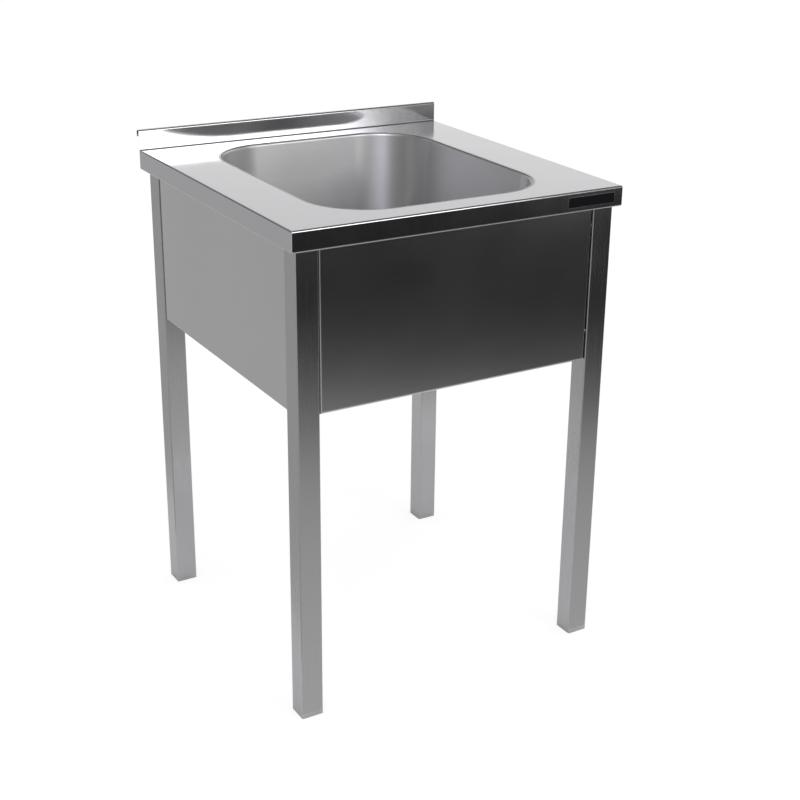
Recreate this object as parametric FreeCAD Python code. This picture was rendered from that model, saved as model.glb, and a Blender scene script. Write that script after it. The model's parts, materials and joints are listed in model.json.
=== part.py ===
"""Utility laundry sink: a pressed deck with one deep bowl on four square-tube legs, with skirts and waste.

Millimetres, +Z up, +Y towards the wall, +X to the right of someone standing at the front.
The origin is on the floor under the middle of the sink's outer box.
"""

import FreeCAD, Part
import math
import os

from FreeCAD import Placement, Rotation, Vector

# Outer sizes
SINK_WIDTH = 600.0  # over the two side fascias
SINK_DEPTH = 600.0  # front fascia to the back of the upstand's hem
DECK_HEIGHT = 830.0  # floor to the top of the deck

# Deck
DECK_SHEET = 1.2
DECK_BEND = 3.0  # outer radius of the bends round each fascia
FASCIA_HEIGHT = 34.0
HEM_LEG_GAP = 1.0  # between the hem under the fascia and the legs
UPSTAND_HEIGHT = 35.0
UPSTAND_FOLD = 2.0  # inner radius of the upstand's bends
UPSTAND_HEM = 10.0  # depth of the top hem, front face to back face
UPSTAND_LIP = 12.0  # height of the lip at the back of the hem

# Bowl
BOWL_SIDE_MARGIN = 96.0  # each side fascia to the lip
BOWL_FRONT_MARGIN = 47.0  # front fascia to the lip
BOWL_REAR_MARGIN = 43.0  # lip to the upstand's face
BOWL_DEPTH = 250.0
BOWL_CORNER = 100.0  # inner radius of the upright corners, at the top
BOWL_DRAFT = 6.0  # how far each wall leans in from lip to floor
BOWL_SHEET = 1.2
BOWL_LIP = 4.0  # radius of the rolled lip
BOWL_RIM = 3.0  # flat rim outside the lip, let into the deck
BOWL_FLOOR_BEND = 30.0  # inner radius between the walls and the floor
DISH_RADIUS = 150.0  # the floor falls to the drain inside this radius
DISH_DROP = 5.0
SEAT_DROP = 3.0  # the drain seat lies this much below the dish

# Legs
LEG_TUBE = 38.0
LEG_WALL = 1.2
LEG_CORNER = 2.5  # outer radius of the tube
LEG_INSET = 11.0  # legs stand this far inside the front and side fascias
LEG_REAR_INSET = 12.0  # and this far in front of the upstand's face
PLUG_HEIGHT = 22.0
PLUG_WALL = 3.0
PLUG_CLEARANCE = 0.1
SOCKET_HEIGHT = 50.0
SOCKET_WALL = 2.0
SOCKET_CLEARANCE = 0.3
LEG_SCREW_DROP = 24.0  # leg screws lie this far under the deck sheet

# Skirts and rear rail, folded pans that open towards the middle of the sink
SKIRT_SHEET = 1.0
SKIRT_BEND = 4.0  # outer radius
SKIRT_BOTTOM = 532.5  # floor to the lower edge of a skirt
SKIRT_RECESS = 2.0  # skirts lie this far behind the faces of the legs
SKIRT_FLANGE = 18.0
SKIRT_RETURN = 15.0  # depth of the lower return flange
CORNER_RELIEF = 1.5  # gap between the return flange and a side flange
RAIL_HEIGHT = 110.0
SCREW_EDGE = 50.0  # lower skirt screws above the skirt's lower edge
RAIL_SCREW_EDGE = 16.0
SOCKET_SCREW_GAP = 14.0  # upper skirt screws below the leg sockets

# Fasteners
SCREW_RADIUS = 2.5
SCREW_LENGTH = 12.0
SCREW_HEAD_RADIUS = 4.8
SCREW_HEAD_HEIGHT = 2.6
SCREW_CLEARANCE = 0.3
SCREW_POINT = 0.6  # length of a screw's chamfered tip as a share of its radius
SCREW_CROWN = 0.7  # rounding of a screw's head as a share of its height
NUT_FLANGE = 1.5  # thickness of the insert's flange, which sets the gap of skirt and leg
NUT_FLANGE_RADIUS = 5.0
NUT_BODY_RADIUS = 3.5
NUT_BODY_LENGTH = 9.0
NUT_CLEARANCE = 0.1
LEG_SCREW_RADIUS = 3.0
LEG_SCREW_LENGTH = 10.0
LEG_SCREW_HEAD_RADIUS = 5.5
LEG_SCREW_HEAD_HEIGHT = 3.0

# Stiffening, damping and bonding
BRACE_SHEET = 1.5
BRACE_WIDTH = 36.0
BRACE_CROWN = 20.0  # width of the hat's lower face
BRACE_DROP = 18.0
BRACE_FOLD = 1.5  # inner radius
BRACE_WALL_GAP = 9.0  # between the bowl and a brace
BRACE_END_GAP = 4.0  # between a brace and the flanges in front of and behind it
PAD_LENGTH = 240.0
PAD_HEIGHT = 130.0
PAD_THICKNESS = 3.0
PAD_TOP_DROP = 70.0  # top of a pad below the deck
TAB_WIDTH = 20.0
TAB_SHEET = 1.5
TAB_DROP = 24.0
TAB_SEAT = 11.0
TAB_HOLE_RADIUS = 3.2
TAB_HOLE_RISE = 8.0  # hole's centre above the tab's lower edge
TAB_OFFSET = 150.0  # from the sink's middle, towards the right

# Waste fittings, all on the drain's axis
WASTE_FLANGE_RADIUS = 56.0
WASTE_FLANGE_SHEET = 1.5
SEAT_CLEARANCE = 1.0  # round the waste flange
WASTE_CUP_RADIUS = 43.0
WASTE_CUP_DEPTH = 48.0
WASTE_WALL = 1.5
WASTE_HOLE_CLEARANCE = 1.0
WASTE_THROAT = 3.0  # radius between the waste flange and the cup
RING_CLEARANCE = 0.3  # washers and gaskets round the cup
THREAD_CLEARANCE = 0.15
FLANGE_GASKET_SHEET = 1.0
BODY_GASKET_RADIUS = 55.0
BODY_GASKET_SHEET = 3.0
FRICTION_WASHER_RADIUS = 53.0
FRICTION_WASHER_SHEET = 1.5
LOCKNUT_RADIUS = 50.0
LOCKNUT_HEIGHT = 12.0
LOCKNUT_LUG = 5.0  # how far each lug stands out
LOCKNUT_LUG_WIDTH = 9.0
LOCKNUT_LUG_HEIGHT = 9.0
LOCKNUT_LUGS = 8
NECK_RADIUS = 23.0
NECK_BORE = 18.5
NECK_LENGTH = 22.0
TAIL_WASHER_SHEET = 3.0
TAIL_RADIUS = 20.0
TAIL_WALL = 1.5
TAIL_LENGTH = 70.0
TAIL_FLANGE_RADIUS = 22.8
TAIL_FLANGE_SHEET = 2.0
TAIL_COLLAR = 0.8  # how far the collar in the nut's throat stands out from the pipe
COUPLING_FLATS = 56.0  # across flats
COUPLING_GRIP = 12.0  # how far the nut reaches up the neck
COUPLING_SHOULDER = 3.0

# Basket strainer
STOPPER_RADIUS = 26.0
STOPPER_HEIGHT = 4.0
STOPPER_SEAT_GAP = 0.3
STOPPER_ROUND = 1.0
BASKET_SHEET = 0.8
BASKET_HEIGHT = 38.0
BASKET_CLEARANCE = 0.7  # between the basket's rim and the cup
BASKET_RIM = 2.0
BASKET_TAPER = 3.0  # the wall leans in this much from rim to floor
BASKET_FLOOR_BEND = 4.0
BASKET_HOLE_RADIUS = 2.5
BASKET_INNER_RING = 17.0  # radius of the inner ring of holes in the floor
BASKET_INNER_HOLES = 8
BASKET_OUTER_RING = 28.0
BASKET_OUTER_HOLES = 14
BASKET_WALL_HOLES = 16
POST_RADIUS = 3.0
POST_CLEARANCE = 0.2
KNOB_COLLAR_RADIUS = 6.0
KNOB_COLLAR_HEIGHT = 14.0
KNOB_RADIUS = 10.0
KNOB_HEIGHT = 9.0
KNOB_LOWER_ROUND = 2.25
KNOB_UPPER_ROUND = 3.0
CLIP_RADIUS = 6.0
CLIP_SHEET = 1.0
POST_TIP = 1.5  # the post ends this far below the clip
POST_ROUND = 0.75

# Places worked out from the sizes above
HALF_WIDTH = SINK_WIDTH / 2
FRONT = -SINK_DEPTH / 2
BACK = SINK_DEPTH / 2
UPSTAND_FACE = BACK - UPSTAND_HEM
DECK_UNDERSIDE = DECK_HEIGHT - DECK_SHEET
FASCIA_HEM = LEG_INSET - HEM_LEG_GAP
LEG_X = HALF_WIDTH - LEG_INSET - LEG_TUBE / 2
LEG_FRONT_Y = FRONT + LEG_INSET + LEG_TUBE / 2
LEG_REAR_Y = UPSTAND_FACE - LEG_REAR_INSET - LEG_TUBE / 2
LEG_BORE = LEG_TUBE - 2 * LEG_WALL
SKIRT_SIDE_X = HALF_WIDTH - LEG_INSET - SKIRT_RECESS
SKIRT_FRONT_Y = FRONT + LEG_INSET + SKIRT_RECESS
RAIL_Y = UPSTAND_FACE - LEG_REAR_INSET - SKIRT_RECESS
RAIL_BOTTOM = DECK_UNDERSIDE - RAIL_HEIGHT
SOCKET_BOTTOM = DECK_UNDERSIDE - SOCKET_HEIGHT
UPPER_SCREW_Z = SOCKET_BOTTOM - SOCKET_SCREW_GAP
BOWL_WIDTH = SINK_WIDTH - 2 * (BOWL_SIDE_MARGIN + BOWL_LIP)  # inside, under the lip
BOWL_FRONT = FRONT + BOWL_FRONT_MARGIN + BOWL_LIP
BOWL_REAR = UPSTAND_FACE - BOWL_REAR_MARGIN - BOWL_LIP
BOWL_LENGTH = BOWL_REAR - BOWL_FRONT
BOWL_Y = (BOWL_FRONT + BOWL_REAR) / 2
BOWL_FLOOR = DECK_HEIGHT - BOWL_DEPTH
SEAT_RADIUS = WASTE_FLANGE_RADIUS + SEAT_CLEARANCE
SEAT_TOP = BOWL_FLOOR - DISH_DROP - SEAT_DROP
WASTE_TOP = SEAT_TOP + FLANGE_GASKET_SHEET + WASTE_FLANGE_SHEET
CUP_FLOOR = WASTE_TOP - WASTE_CUP_DEPTH
CUP_BORE = WASTE_CUP_RADIUS - WASTE_WALL
NECK_END = CUP_FLOOR - WASTE_WALL - NECK_LENGTH
STOPPER_BOTTOM = CUP_FLOOR + STOPPER_SEAT_GAP
BASKET_FLOOR = STOPPER_BOTTOM + STOPPER_HEIGHT
BASKET_RIM_RADIUS = CUP_BORE - BASKET_CLEARANCE

# Each corner of the stand: its name, its side (-1 left, 1 right) and its end (-1 front, 1 rear)
CORNERS = (
    ("front_left", -1, -1),
    ("front_right", 1, -1),
    ("rear_left", -1, 1),
    ("rear_right", 1, 1),
)


def on_xy(height):
    """Return the function that lays (u, v) flat at a height, u along X and v along Y."""
    return lambda u, v: Vector(u, v, height)


def on_yz(position):
    """Return the function that stands (u, v) up at an X position, u along Y and v along Z."""
    return lambda u, v: Vector(position, u, v)


def on_xz(position):
    """Return the function that stands (u, v) up at a Y position, u along X and v along Z."""
    return lambda u, v: Vector(u, position, v)


def profile_face(corners, place):
    """Return the flat face inside an outline of straight runs with rounded corners.

    Args:
        corners: (u, v, radius) of each corner in order, radius 0 for a sharp one.
        place: function that turns (u, v) into a point of the plane.
    """
    points = [Vector(u, v, 0) for u, v, _ in corners]
    rounds = []
    for index, (_, _, radius) in enumerate(corners):
        corner = points[index]
        arriving = (corner - points[index - 1]).normalize()
        leaving = (points[(index + 1) % len(points)] - corner).normalize()
        half_turn = arriving.getAngle(leaving) / 2
        tangent = radius * math.tan(half_turn)
        start = corner - arriving * tangent
        end = corner + leaving * tangent
        inward = (leaving - arriving).normalize()
        middle = corner + inward * (radius / math.cos(half_turn) - radius)
        rounds.append((start, middle, end, radius > 0))
    edges = []
    for index, (start, middle, end, is_round) in enumerate(rounds):
        last_end = rounds[index - 1][2]
        if (start - last_end).Length > 1e-6:
            edges.append(Part.makeLine(place(last_end.x, last_end.y), place(start.x, start.y)))
        if is_round:
            arc = Part.Arc(place(start.x, start.y), place(middle.x, middle.y), place(end.x, end.y))
            edges.append(arc.toShape())
    return Part.Face(Part.Wire(Part.__sortEdges__(edges)))


def rounded_rectangle(width, length, radius, centre_y, height):
    """Return a flat rounded rectangle centred on X = 0 at a height."""
    half_w = width / 2
    half_l = length / 2
    corners = [
        (-half_w, centre_y - half_l, radius),
        (half_w, centre_y - half_l, radius),
        (half_w, centre_y + half_l, radius),
        (-half_w, centre_y + half_l, radius),
    ]
    return profile_face(corners, on_xy(height))


def offset_run(points, distance):
    """Return an open run of (u, v) points moved sideways, to the left for a positive distance."""
    vectors = [Vector(u, v, 0) for u, v in points]
    headings = [(vectors[i + 1] - vectors[i]).normalize() for i in range(len(vectors) - 1)]
    headings = [headings[0]] + headings + [headings[-1]]
    moved = []
    for index, point in enumerate(vectors):
        left_before = Vector(-headings[index].y, headings[index].x, 0)
        left_after = Vector(-headings[index + 1].y, headings[index + 1].x, 0)
        mitre = left_before + left_after
        mitre = mitre * (2 / mitre.Length ** 2)
        moved.append(point + mitre * distance)
    return moved


def bent_sheet(points, sheet, inner_radius, place):
    """Return the section of a folded sheet as a face.

    Args:
        points: (u, v) of the sheet's middle line, one point for each end and each bend.
        sheet: thickness.
        inner_radius: radius on the inside of every bend.
        place: function that turns (u, v) into a point of the plane.
    """
    left = offset_run(points, sheet / 2)
    right = offset_run(points, -sheet / 2)
    left_corners = []
    right_corners = []
    for index in range(len(points)):
        left_radius = 0.0
        right_radius = 0.0
        if 0 < index < len(points) - 1:
            before = left[index] - left[index - 1]
            after = left[index + 1] - left[index]
            turns_left = before.cross(after).z > 0
            left_radius = inner_radius if turns_left else inner_radius + sheet
            right_radius = inner_radius + sheet if turns_left else inner_radius
        left_corners.append((left[index].x, left[index].y, left_radius))
        right_corners.append((right[index].x, right[index].y, right_radius))
    return profile_face(left_corners + right_corners[::-1], place)


def box_between(low, high):
    """Return the box between its lowest and highest corner."""
    size = [high[axis] - low[axis] for axis in range(3)]
    return Part.makeBox(size[0], size[1], size[2], Vector(*low))


def edges_where(shape, is_wanted):
    """Return the edges of a shape whose middle point passes a test."""
    return [edge for edge in shape.Edges if is_wanted(edge.CenterOfMass)]


def turned(corners):
    """Return the ring or cup that a (radius, height, rounding) section makes round the drain's axis."""
    section = profile_face(corners, on_xz(0.0))
    ring = section.revolve(Vector(0, 0, 0), Vector(0, 0, 1), 360)
    ring.translate(Vector(0, BOWL_Y, 0))
    return ring


def washer(inner_radius, outer_radius, bottom, thickness):
    """Return a flat ring on the drain's axis."""
    top = bottom + thickness
    return turned(
        [(inner_radius, bottom, 0), (outer_radius, bottom, 0), (outer_radius, top, 0), (inner_radius, top, 0)]
    )


def ring_of(count, tool):
    """Return copies of a tool spread evenly round the drain's axis."""
    copies = []
    for index in range(count):
        copy = tool.copy()
        copy.rotate(Vector(0, BOWL_Y, 0), Vector(0, 0, 1), 360 * index / count)
        copies.append(copy)
    return copies


def aimed(shape, point, direction):
    """Return a copy of a shape modelled along Z from the origin, moved to a point and aimed."""
    copy = shape.copy()
    copy.Placement = Placement(point, Rotation(Vector(0, 0, 1), direction))
    return copy


def drilled(shape, places, radius, depth):
    """Return a shape with a round hole at each (point, direction), reaching depth to both sides."""
    tools = [Part.makeCylinder(radius, 2 * depth, point - axis * depth, axis) for point, axis in places]
    return shape.cut(tools) if tools else shape


def make_deck_top():
    """The deck's sheet: top, three fascias with their hems, the bowl's opening and the rear upstand."""
    sheet_back = UPSTAND_FACE + DECK_SHEET
    spare = 4 * DECK_BEND
    fascia_bottom = DECK_HEIGHT - FASCIA_HEIGHT
    outer_end = sheet_back + spare
    outer = box_between((-HALF_WIDTH, FRONT, fascia_bottom), (HALF_WIDTH, outer_end, DECK_HEIGHT))
    outer = outer.makeFillet(DECK_BEND, edges_where(outer, lambda middle: middle.y < outer_end - 1e-3))
    inner = box_between(
        (-HALF_WIDTH + DECK_SHEET, FRONT + DECK_SHEET, fascia_bottom + DECK_SHEET),
        (HALF_WIDTH - DECK_SHEET, outer_end, DECK_UNDERSIDE),
    )
    inner_bend = DECK_BEND - DECK_SHEET
    inner = inner.makeFillet(inner_bend, edges_where(inner, lambda middle: middle.y < outer_end - 1e-3))
    below = box_between(
        (-HALF_WIDTH + FASCIA_HEM, FRONT + FASCIA_HEM, fascia_bottom - 1),
        (HALF_WIDTH - FASCIA_HEM, outer_end, fascia_bottom + 2 * DECK_SHEET),
    )
    behind = box_between(
        (-SINK_WIDTH, sheet_back, fascia_bottom - 1), (SINK_WIDTH, outer_end + 1, DECK_HEIGHT + 1)
    )
    fold_start = UPSTAND_FACE - UPSTAND_FOLD
    fold_room = box_between(
        (-SINK_WIDTH, fold_start, DECK_UNDERSIDE), (SINK_WIDTH, outer_end + 1, DECK_HEIGHT + 1)
    )
    shell = outer.cut([inner, below, behind, fold_room])

    middle_y = UPSTAND_FACE + DECK_SHEET / 2
    middle_top = DECK_HEIGHT + UPSTAND_HEIGHT - DECK_SHEET / 2
    run = [
        (fold_start - DECK_SHEET, DECK_HEIGHT - DECK_SHEET / 2),
        (middle_y, DECK_HEIGHT - DECK_SHEET / 2),
        (middle_y, middle_top),
        (BACK - DECK_SHEET / 2, middle_top),
        (BACK - DECK_SHEET / 2, DECK_HEIGHT + UPSTAND_HEIGHT - UPSTAND_LIP),
    ]
    upstand = bent_sheet(run, DECK_SHEET, UPSTAND_FOLD, on_yz(-HALF_WIDTH)).extrude(Vector(SINK_WIDTH, 0, 0))
    above_high = (HALF_WIDTH, BACK + 1, DECK_HEIGHT + UPSTAND_HEIGHT + 1)
    above = box_between((-HALF_WIDTH, fold_start - spare, DECK_HEIGHT), above_high)
    fold = upstand.common(outer)
    deck = shell.fuse([fold, upstand.common(above)]).removeSplitter()

    reach = 2 * (BOWL_LIP + BOWL_RIM)
    opening = rounded_rectangle(
        BOWL_WIDTH + reach, BOWL_LENGTH + reach, BOWL_CORNER + reach / 2, BOWL_Y, DECK_UNDERSIDE - 1
    )
    return deck.cut(opening.extrude(Vector(0, 0, DECK_SHEET + 2)))


def bowl_block(offset):
    """Return the bowl's inside under the lip as a solid, grown by an offset on walls and floor.

    Args:
        offset: 0 for the cavity, the sheet's thickness for the outer skin of the bowl.
    """
    bottom = BOWL_FLOOR - offset
    grow = 2 * offset
    shrink = 2 * BOWL_DRAFT
    width = BOWL_WIDTH + grow
    length = BOWL_LENGTH + grow
    corner = BOWL_CORNER + offset
    upper = rounded_rectangle(width, length, corner, BOWL_Y, DECK_HEIGHT - BOWL_LIP)
    lower = rounded_rectangle(width - shrink, length - shrink, corner - BOWL_DRAFT, BOWL_Y, bottom)
    block = Part.makeLoft([lower.OuterWire, upper.OuterWire], True, True)
    floor_edges = edges_where(block, lambda middle: abs(middle.z - bottom) < 1e-3)
    block = block.makeFillet(BOWL_FLOOR_BEND + offset, floor_edges)
    centre = Vector(0, BOWL_Y, bottom - DISH_DROP)
    dish = Part.makeCone(SEAT_RADIUS, DISH_RADIUS, DISH_DROP, centre)
    seat = Part.makeCylinder(SEAT_RADIUS + offset, SEAT_DROP + DISH_DROP, centre - Vector(0, 0, SEAT_DROP))
    return block.fuse([dish, seat])


def frame_round_bowl(corners):
    """Return the frame that a section makes when it runs round the bowl's mouth.

    Args:
        corners: (distance outside the bowl's wall, height, rounding) of the section.
    """
    straight_x = BOWL_WIDTH - 2 * BOWL_CORNER
    straight_y = BOWL_LENGTH - 2 * BOWL_CORNER
    pieces = []
    for turn, reach, straight in ((0, BOWL_WIDTH, straight_y), (90, BOWL_LENGTH, straight_x)):
        for flip in (0, 180):
            half = reach / 2
            outline = [(half + out, height, radius) for out, height, radius in corners]
            section = profile_face(outline, on_xz(-straight / 2))
            side = section.extrude(Vector(0, straight, 0))
            side.rotate(Vector(0, 0, 0), Vector(0, 0, 1), turn + flip)
            pieces.append(side)
            centre = Vector(half - BOWL_CORNER, straight / 2, 0)
            end_section = section.copy()
            end_section.translate(Vector(0, straight, 0))
            bend = end_section.revolve(centre, Vector(0, 0, 1), 90)
            bend.rotate(Vector(0, 0, 0), Vector(0, 0, 1), turn + flip)
            pieces.append(bend)
    frame = pieces[0].fuse(pieces[1:]).removeSplitter()
    frame.translate(Vector(0, BOWL_Y, 0))
    return frame


def make_sink_bowl():
    """The drawn bowl: flat rim, rolled lip, leaning walls, dished floor and the seat of the drain."""
    under_lip = DECK_HEIGHT - BOWL_LIP
    underside = DECK_HEIGHT - BOWL_SHEET
    reach = BOWL_LIP + BOWL_RIM
    lip = frame_round_bowl(
        [
            (0, under_lip, 0),
            (BOWL_SHEET, under_lip, 0),
            (BOWL_SHEET, underside, BOWL_LIP - BOWL_SHEET),
            (reach, underside, 0),
            (reach, DECK_HEIGHT, 0),
            (0, DECK_HEIGHT, BOWL_LIP),
        ]
    )
    walls = bowl_block(BOWL_SHEET).cut(bowl_block(0.0))
    hole = Part.makeCylinder(
        WASTE_CUP_RADIUS + WASTE_HOLE_CLEARANCE, 4 * BOWL_SHEET, Vector(0, BOWL_Y, SEAT_TOP - 2 * BOWL_SHEET)
    )
    return walls.fuse(lip).removeSplitter().cut(hole)


def leg_centre(side, end):
    """Return the X and Y of a leg's axis."""
    return side * LEG_X, LEG_REAR_Y if end > 0 else LEG_FRONT_Y


def skirt_fixings(side, end):
    """Return the (point, direction) of every insert in one leg.

    The point is on the leg's face and the direction leads into the leg.
    """
    x, y = leg_centre(side, end)
    lower = SKIRT_BOTTOM + SCREW_EDGE
    across_y = RAIL_Y - SKIRT_FLANGE / 2 if end > 0 else SKIRT_FRONT_Y + SKIRT_FLANGE / 2
    across_low = RAIL_BOTTOM + RAIL_SCREW_EDGE if end > 0 else lower
    fixings = []
    for height in (across_low, UPPER_SCREW_Z):
        fixings.append((Vector(x - side * LEG_TUBE / 2, across_y, height), Vector(side, 0, 0)))
    for height in (lower, UPPER_SCREW_Z):
        along_x = side * (SKIRT_SIDE_X - SKIRT_FLANGE / 2)
        fixings.append((Vector(along_x, y - end * LEG_TUBE / 2, height), Vector(0, end, 0)))
    return fixings


def leg_screw_place(side, end):
    """Return the (point, direction) of the screw that locks one leg on its socket."""
    x, y = leg_centre(side, end)
    beside_flange = y - end * (SKIRT_RECESS + SKIRT_FLANGE) / 2
    point = Vector(x - side * LEG_TUBE / 2, beside_flange, DECK_UNDERSIDE - LEG_SCREW_DROP)
    return point, Vector(side, 0, 0)


def square_prism(centre, width, radius, bottom, top):
    """Return an upright square bar with rounded edges round an (x, y) centre."""
    x, y = centre
    half = width / 2
    corners = [(x + sx * half, y + sy * half, radius) for sx, sy in ((-1, -1), (1, -1), (1, 1), (-1, 1))]
    return profile_face(corners, on_xy(bottom)).extrude(Vector(0, 0, top - bottom))


def make_leg(side, end):
    """One square tube from the floor to the deck's underside, with its screw and insert holes."""
    centre = leg_centre(side, end)
    tube = square_prism(centre, LEG_TUBE, LEG_CORNER, 0, DECK_UNDERSIDE)
    tube = tube.cut(square_prism(centre, LEG_BORE, LEG_CORNER - LEG_WALL, 0, DECK_UNDERSIDE))
    tube = drilled(tube, skirt_fixings(side, end), NUT_BODY_RADIUS + NUT_CLEARANCE, 2 * LEG_WALL)
    return drilled(tube, [leg_screw_place(side, end)], LEG_SCREW_RADIUS + SCREW_CLEARANCE, 2 * LEG_WALL)


def make_foot_plug(side, end):
    """The hollow plug in the lower end of a leg, flush with the tube's end."""
    centre = leg_centre(side, end)
    width = LEG_BORE - 2 * PLUG_CLEARANCE
    radius = LEG_CORNER - LEG_WALL
    plug = square_prism(centre, width, radius, 0, PLUG_HEIGHT)
    hollow = square_prism(centre, width - 2 * PLUG_WALL, radius, PLUG_WALL, PLUG_HEIGHT)
    return plug.cut(hollow)


def make_leg_socket(side, end):
    """The inverted cup under the deck that a leg pushes over, with the hole of the leg's screw."""
    centre = leg_centre(side, end)
    width = LEG_BORE - 2 * SOCKET_CLEARANCE
    socket = square_prism(centre, width, LEG_CORNER, SOCKET_BOTTOM, DECK_UNDERSIDE)
    inner_width = width - 2 * SOCKET_WALL
    inner_corner = LEG_CORNER - SOCKET_WALL / 2
    hollow = square_prism(centre, inner_width, inner_corner, SOCKET_BOTTOM, DECK_UNDERSIDE - SOCKET_WALL)
    depth = LEG_WALL + SOCKET_CLEARANCE + 2 * SOCKET_WALL
    return drilled(socket.cut(hollow), [leg_screw_place(side, end)], LEG_SCREW_RADIUS + NUT_CLEARANCE, depth)


def pan_head_screw(radius, length, head_radius, head_height):
    """Return a screw along Z whose head seats on Z = 0 and whose shank points up."""
    section = profile_face(
        [
            (0, length, 0),
            (radius * SCREW_POINT, length, 0),
            (radius, length - radius * SCREW_POINT, 0),
            (radius, 0, 0),
            (head_radius, 0, 0),
            (head_radius, -head_height, head_height * SCREW_CROWN),
            (0, -head_height, 0),
        ],
        on_xz(0.0),
    )
    return section.revolve(Vector(0, 0, 0), Vector(0, 0, 1), 360)


def make_leg_screws():
    """One screw through the inner face of each leg into its socket."""
    screw = pan_head_screw(LEG_SCREW_RADIUS, LEG_SCREW_LENGTH, LEG_SCREW_HEAD_RADIUS, LEG_SCREW_HEAD_HEIGHT)
    return Part.makeCompound([aimed(screw, *leg_screw_place(side, end)) for _, side, end in CORNERS])


def all_fixings():
    """Return the (point, direction) of every insert in the four legs."""
    return [fixing for _, side, end in CORNERS for fixing in skirt_fixings(side, end)]


def make_rivet_nuts():
    """The threaded inserts in the legs. Their flanges lie between leg and skirt."""
    bore = SCREW_RADIUS + NUT_CLEARANCE
    section = profile_face(
        [
            (bore, -NUT_FLANGE, 0),
            (NUT_FLANGE_RADIUS, -NUT_FLANGE, 0),
            (NUT_FLANGE_RADIUS, 0, 0),
            (NUT_BODY_RADIUS, 0, 0),
            (NUT_BODY_RADIUS, NUT_BODY_LENGTH, 0),
            (bore, NUT_BODY_LENGTH, 0),
        ],
        on_xz(0.0),
    )
    nut = section.revolve(Vector(0, 0, 0), Vector(0, 0, 1), 360)
    return Part.makeCompound([aimed(nut, point, axis) for point, axis in all_fixings()])


def make_skirt_screws():
    """The screws through the side flanges of the skirts and the rail."""
    screw = pan_head_screw(SCREW_RADIUS, SCREW_LENGTH, SCREW_HEAD_RADIUS, SCREW_HEAD_HEIGHT)
    seat = NUT_FLANGE + SKIRT_SHEET
    return Part.makeCompound([aimed(screw, point - axis * seat, axis) for point, axis in all_fixings()])


def folded_pan(length, height):
    """Return a folded sheet pan: its face on Y = 0, open towards +Y, its lower edge on Z = 0.

    The flanges go back from the face on all four sides, with a relief gap at the two lower corners.
    """
    half = length / 2
    far = SKIRT_FLANGE + 4 * SKIRT_BEND
    outer = box_between((-half, 0, 0), (half, far, height))
    outer = outer.makeFillet(SKIRT_BEND, edges_where(outer, lambda middle: middle.y < 1e-3))
    inner_low = (-half + SKIRT_SHEET, SKIRT_SHEET, SKIRT_SHEET)
    inner = box_between(inner_low, (half - SKIRT_SHEET, far, height - SKIRT_SHEET))
    inner_bend = SKIRT_BEND - SKIRT_SHEET
    inner = inner.makeFillet(inner_bend, edges_where(inner, lambda middle: middle.y < SKIRT_SHEET + 1e-3))
    beyond = box_between((-length, SKIRT_FLANGE, -1), (length, far + 1, height + 1))
    short_return = box_between(
        (-half + SKIRT_SHEET, SKIRT_RETURN, -1), (half - SKIRT_SHEET, far, SKIRT_SHEET + inner_bend)
    )
    reliefs = []
    for side in (-1, 1):
        near = side * (half - SKIRT_SHEET - CORNER_RELIEF)
        low_x = min(near, side * (half - SKIRT_SHEET))
        high_x = max(near, side * (half - SKIRT_SHEET))
        reliefs.append(box_between((low_x, SKIRT_BEND, -1), (high_x, far, SKIRT_SHEET + inner_bend)))
    return outer.cut([inner, beyond, short_return] + reliefs)


def placed_pan(length, height, turn, position, side_turn_fixings):
    """Return a folded pan turned about Z, moved, and drilled for its screws."""
    pan = folded_pan(length, height)
    pan.rotate(Vector(0, 0, 0), Vector(0, 0, 1), turn)
    pan.translate(position)
    return drilled(pan, side_turn_fixings, SCREW_RADIUS + SCREW_CLEARANCE, 2 * (NUT_FLANGE + SKIRT_SHEET))


def fixings_along(axis_name, is_wanted):
    """Return the fixings whose direction lies along X or Y and whose corner passes a test."""
    chosen = []
    for _, side, end in CORNERS:
        if is_wanted(side, end):
            chosen += [fix for fix in skirt_fixings(side, end) if abs(getattr(fix[1], axis_name)) > 0.5]
    return chosen


def make_skirt_front():
    """The skirt between the front legs."""
    length = 2 * (LEG_X - LEG_TUBE / 2 - NUT_FLANGE)
    fixings = fixings_along("x", lambda side, end: end < 0)
    position = Vector(0, SKIRT_FRONT_Y, SKIRT_BOTTOM)
    return placed_pan(length, DECK_UNDERSIDE - SKIRT_BOTTOM, 0, position, fixings)


def make_skirt_side(side):
    """The skirt between the two legs of one side."""
    length = LEG_REAR_Y - LEG_FRONT_Y - LEG_TUBE - 2 * NUT_FLANGE
    position = Vector(side * SKIRT_SIDE_X, (LEG_FRONT_Y + LEG_REAR_Y) / 2, SKIRT_BOTTOM)
    fixings = fixings_along("y", lambda corner_side, end: corner_side == side)
    return placed_pan(length, DECK_UNDERSIDE - SKIRT_BOTTOM, 90 * side, position, fixings)


def make_rear_rail():
    """The cross rail between the rear legs, open to the front like the skirts."""
    length = 2 * (LEG_X - LEG_TUBE / 2 - NUT_FLANGE)
    fixings = fixings_along("x", lambda side, end: end > 0)
    return placed_pan(length, RAIL_HEIGHT, 180, Vector(0, RAIL_Y, RAIL_BOTTOM), fixings)


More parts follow.
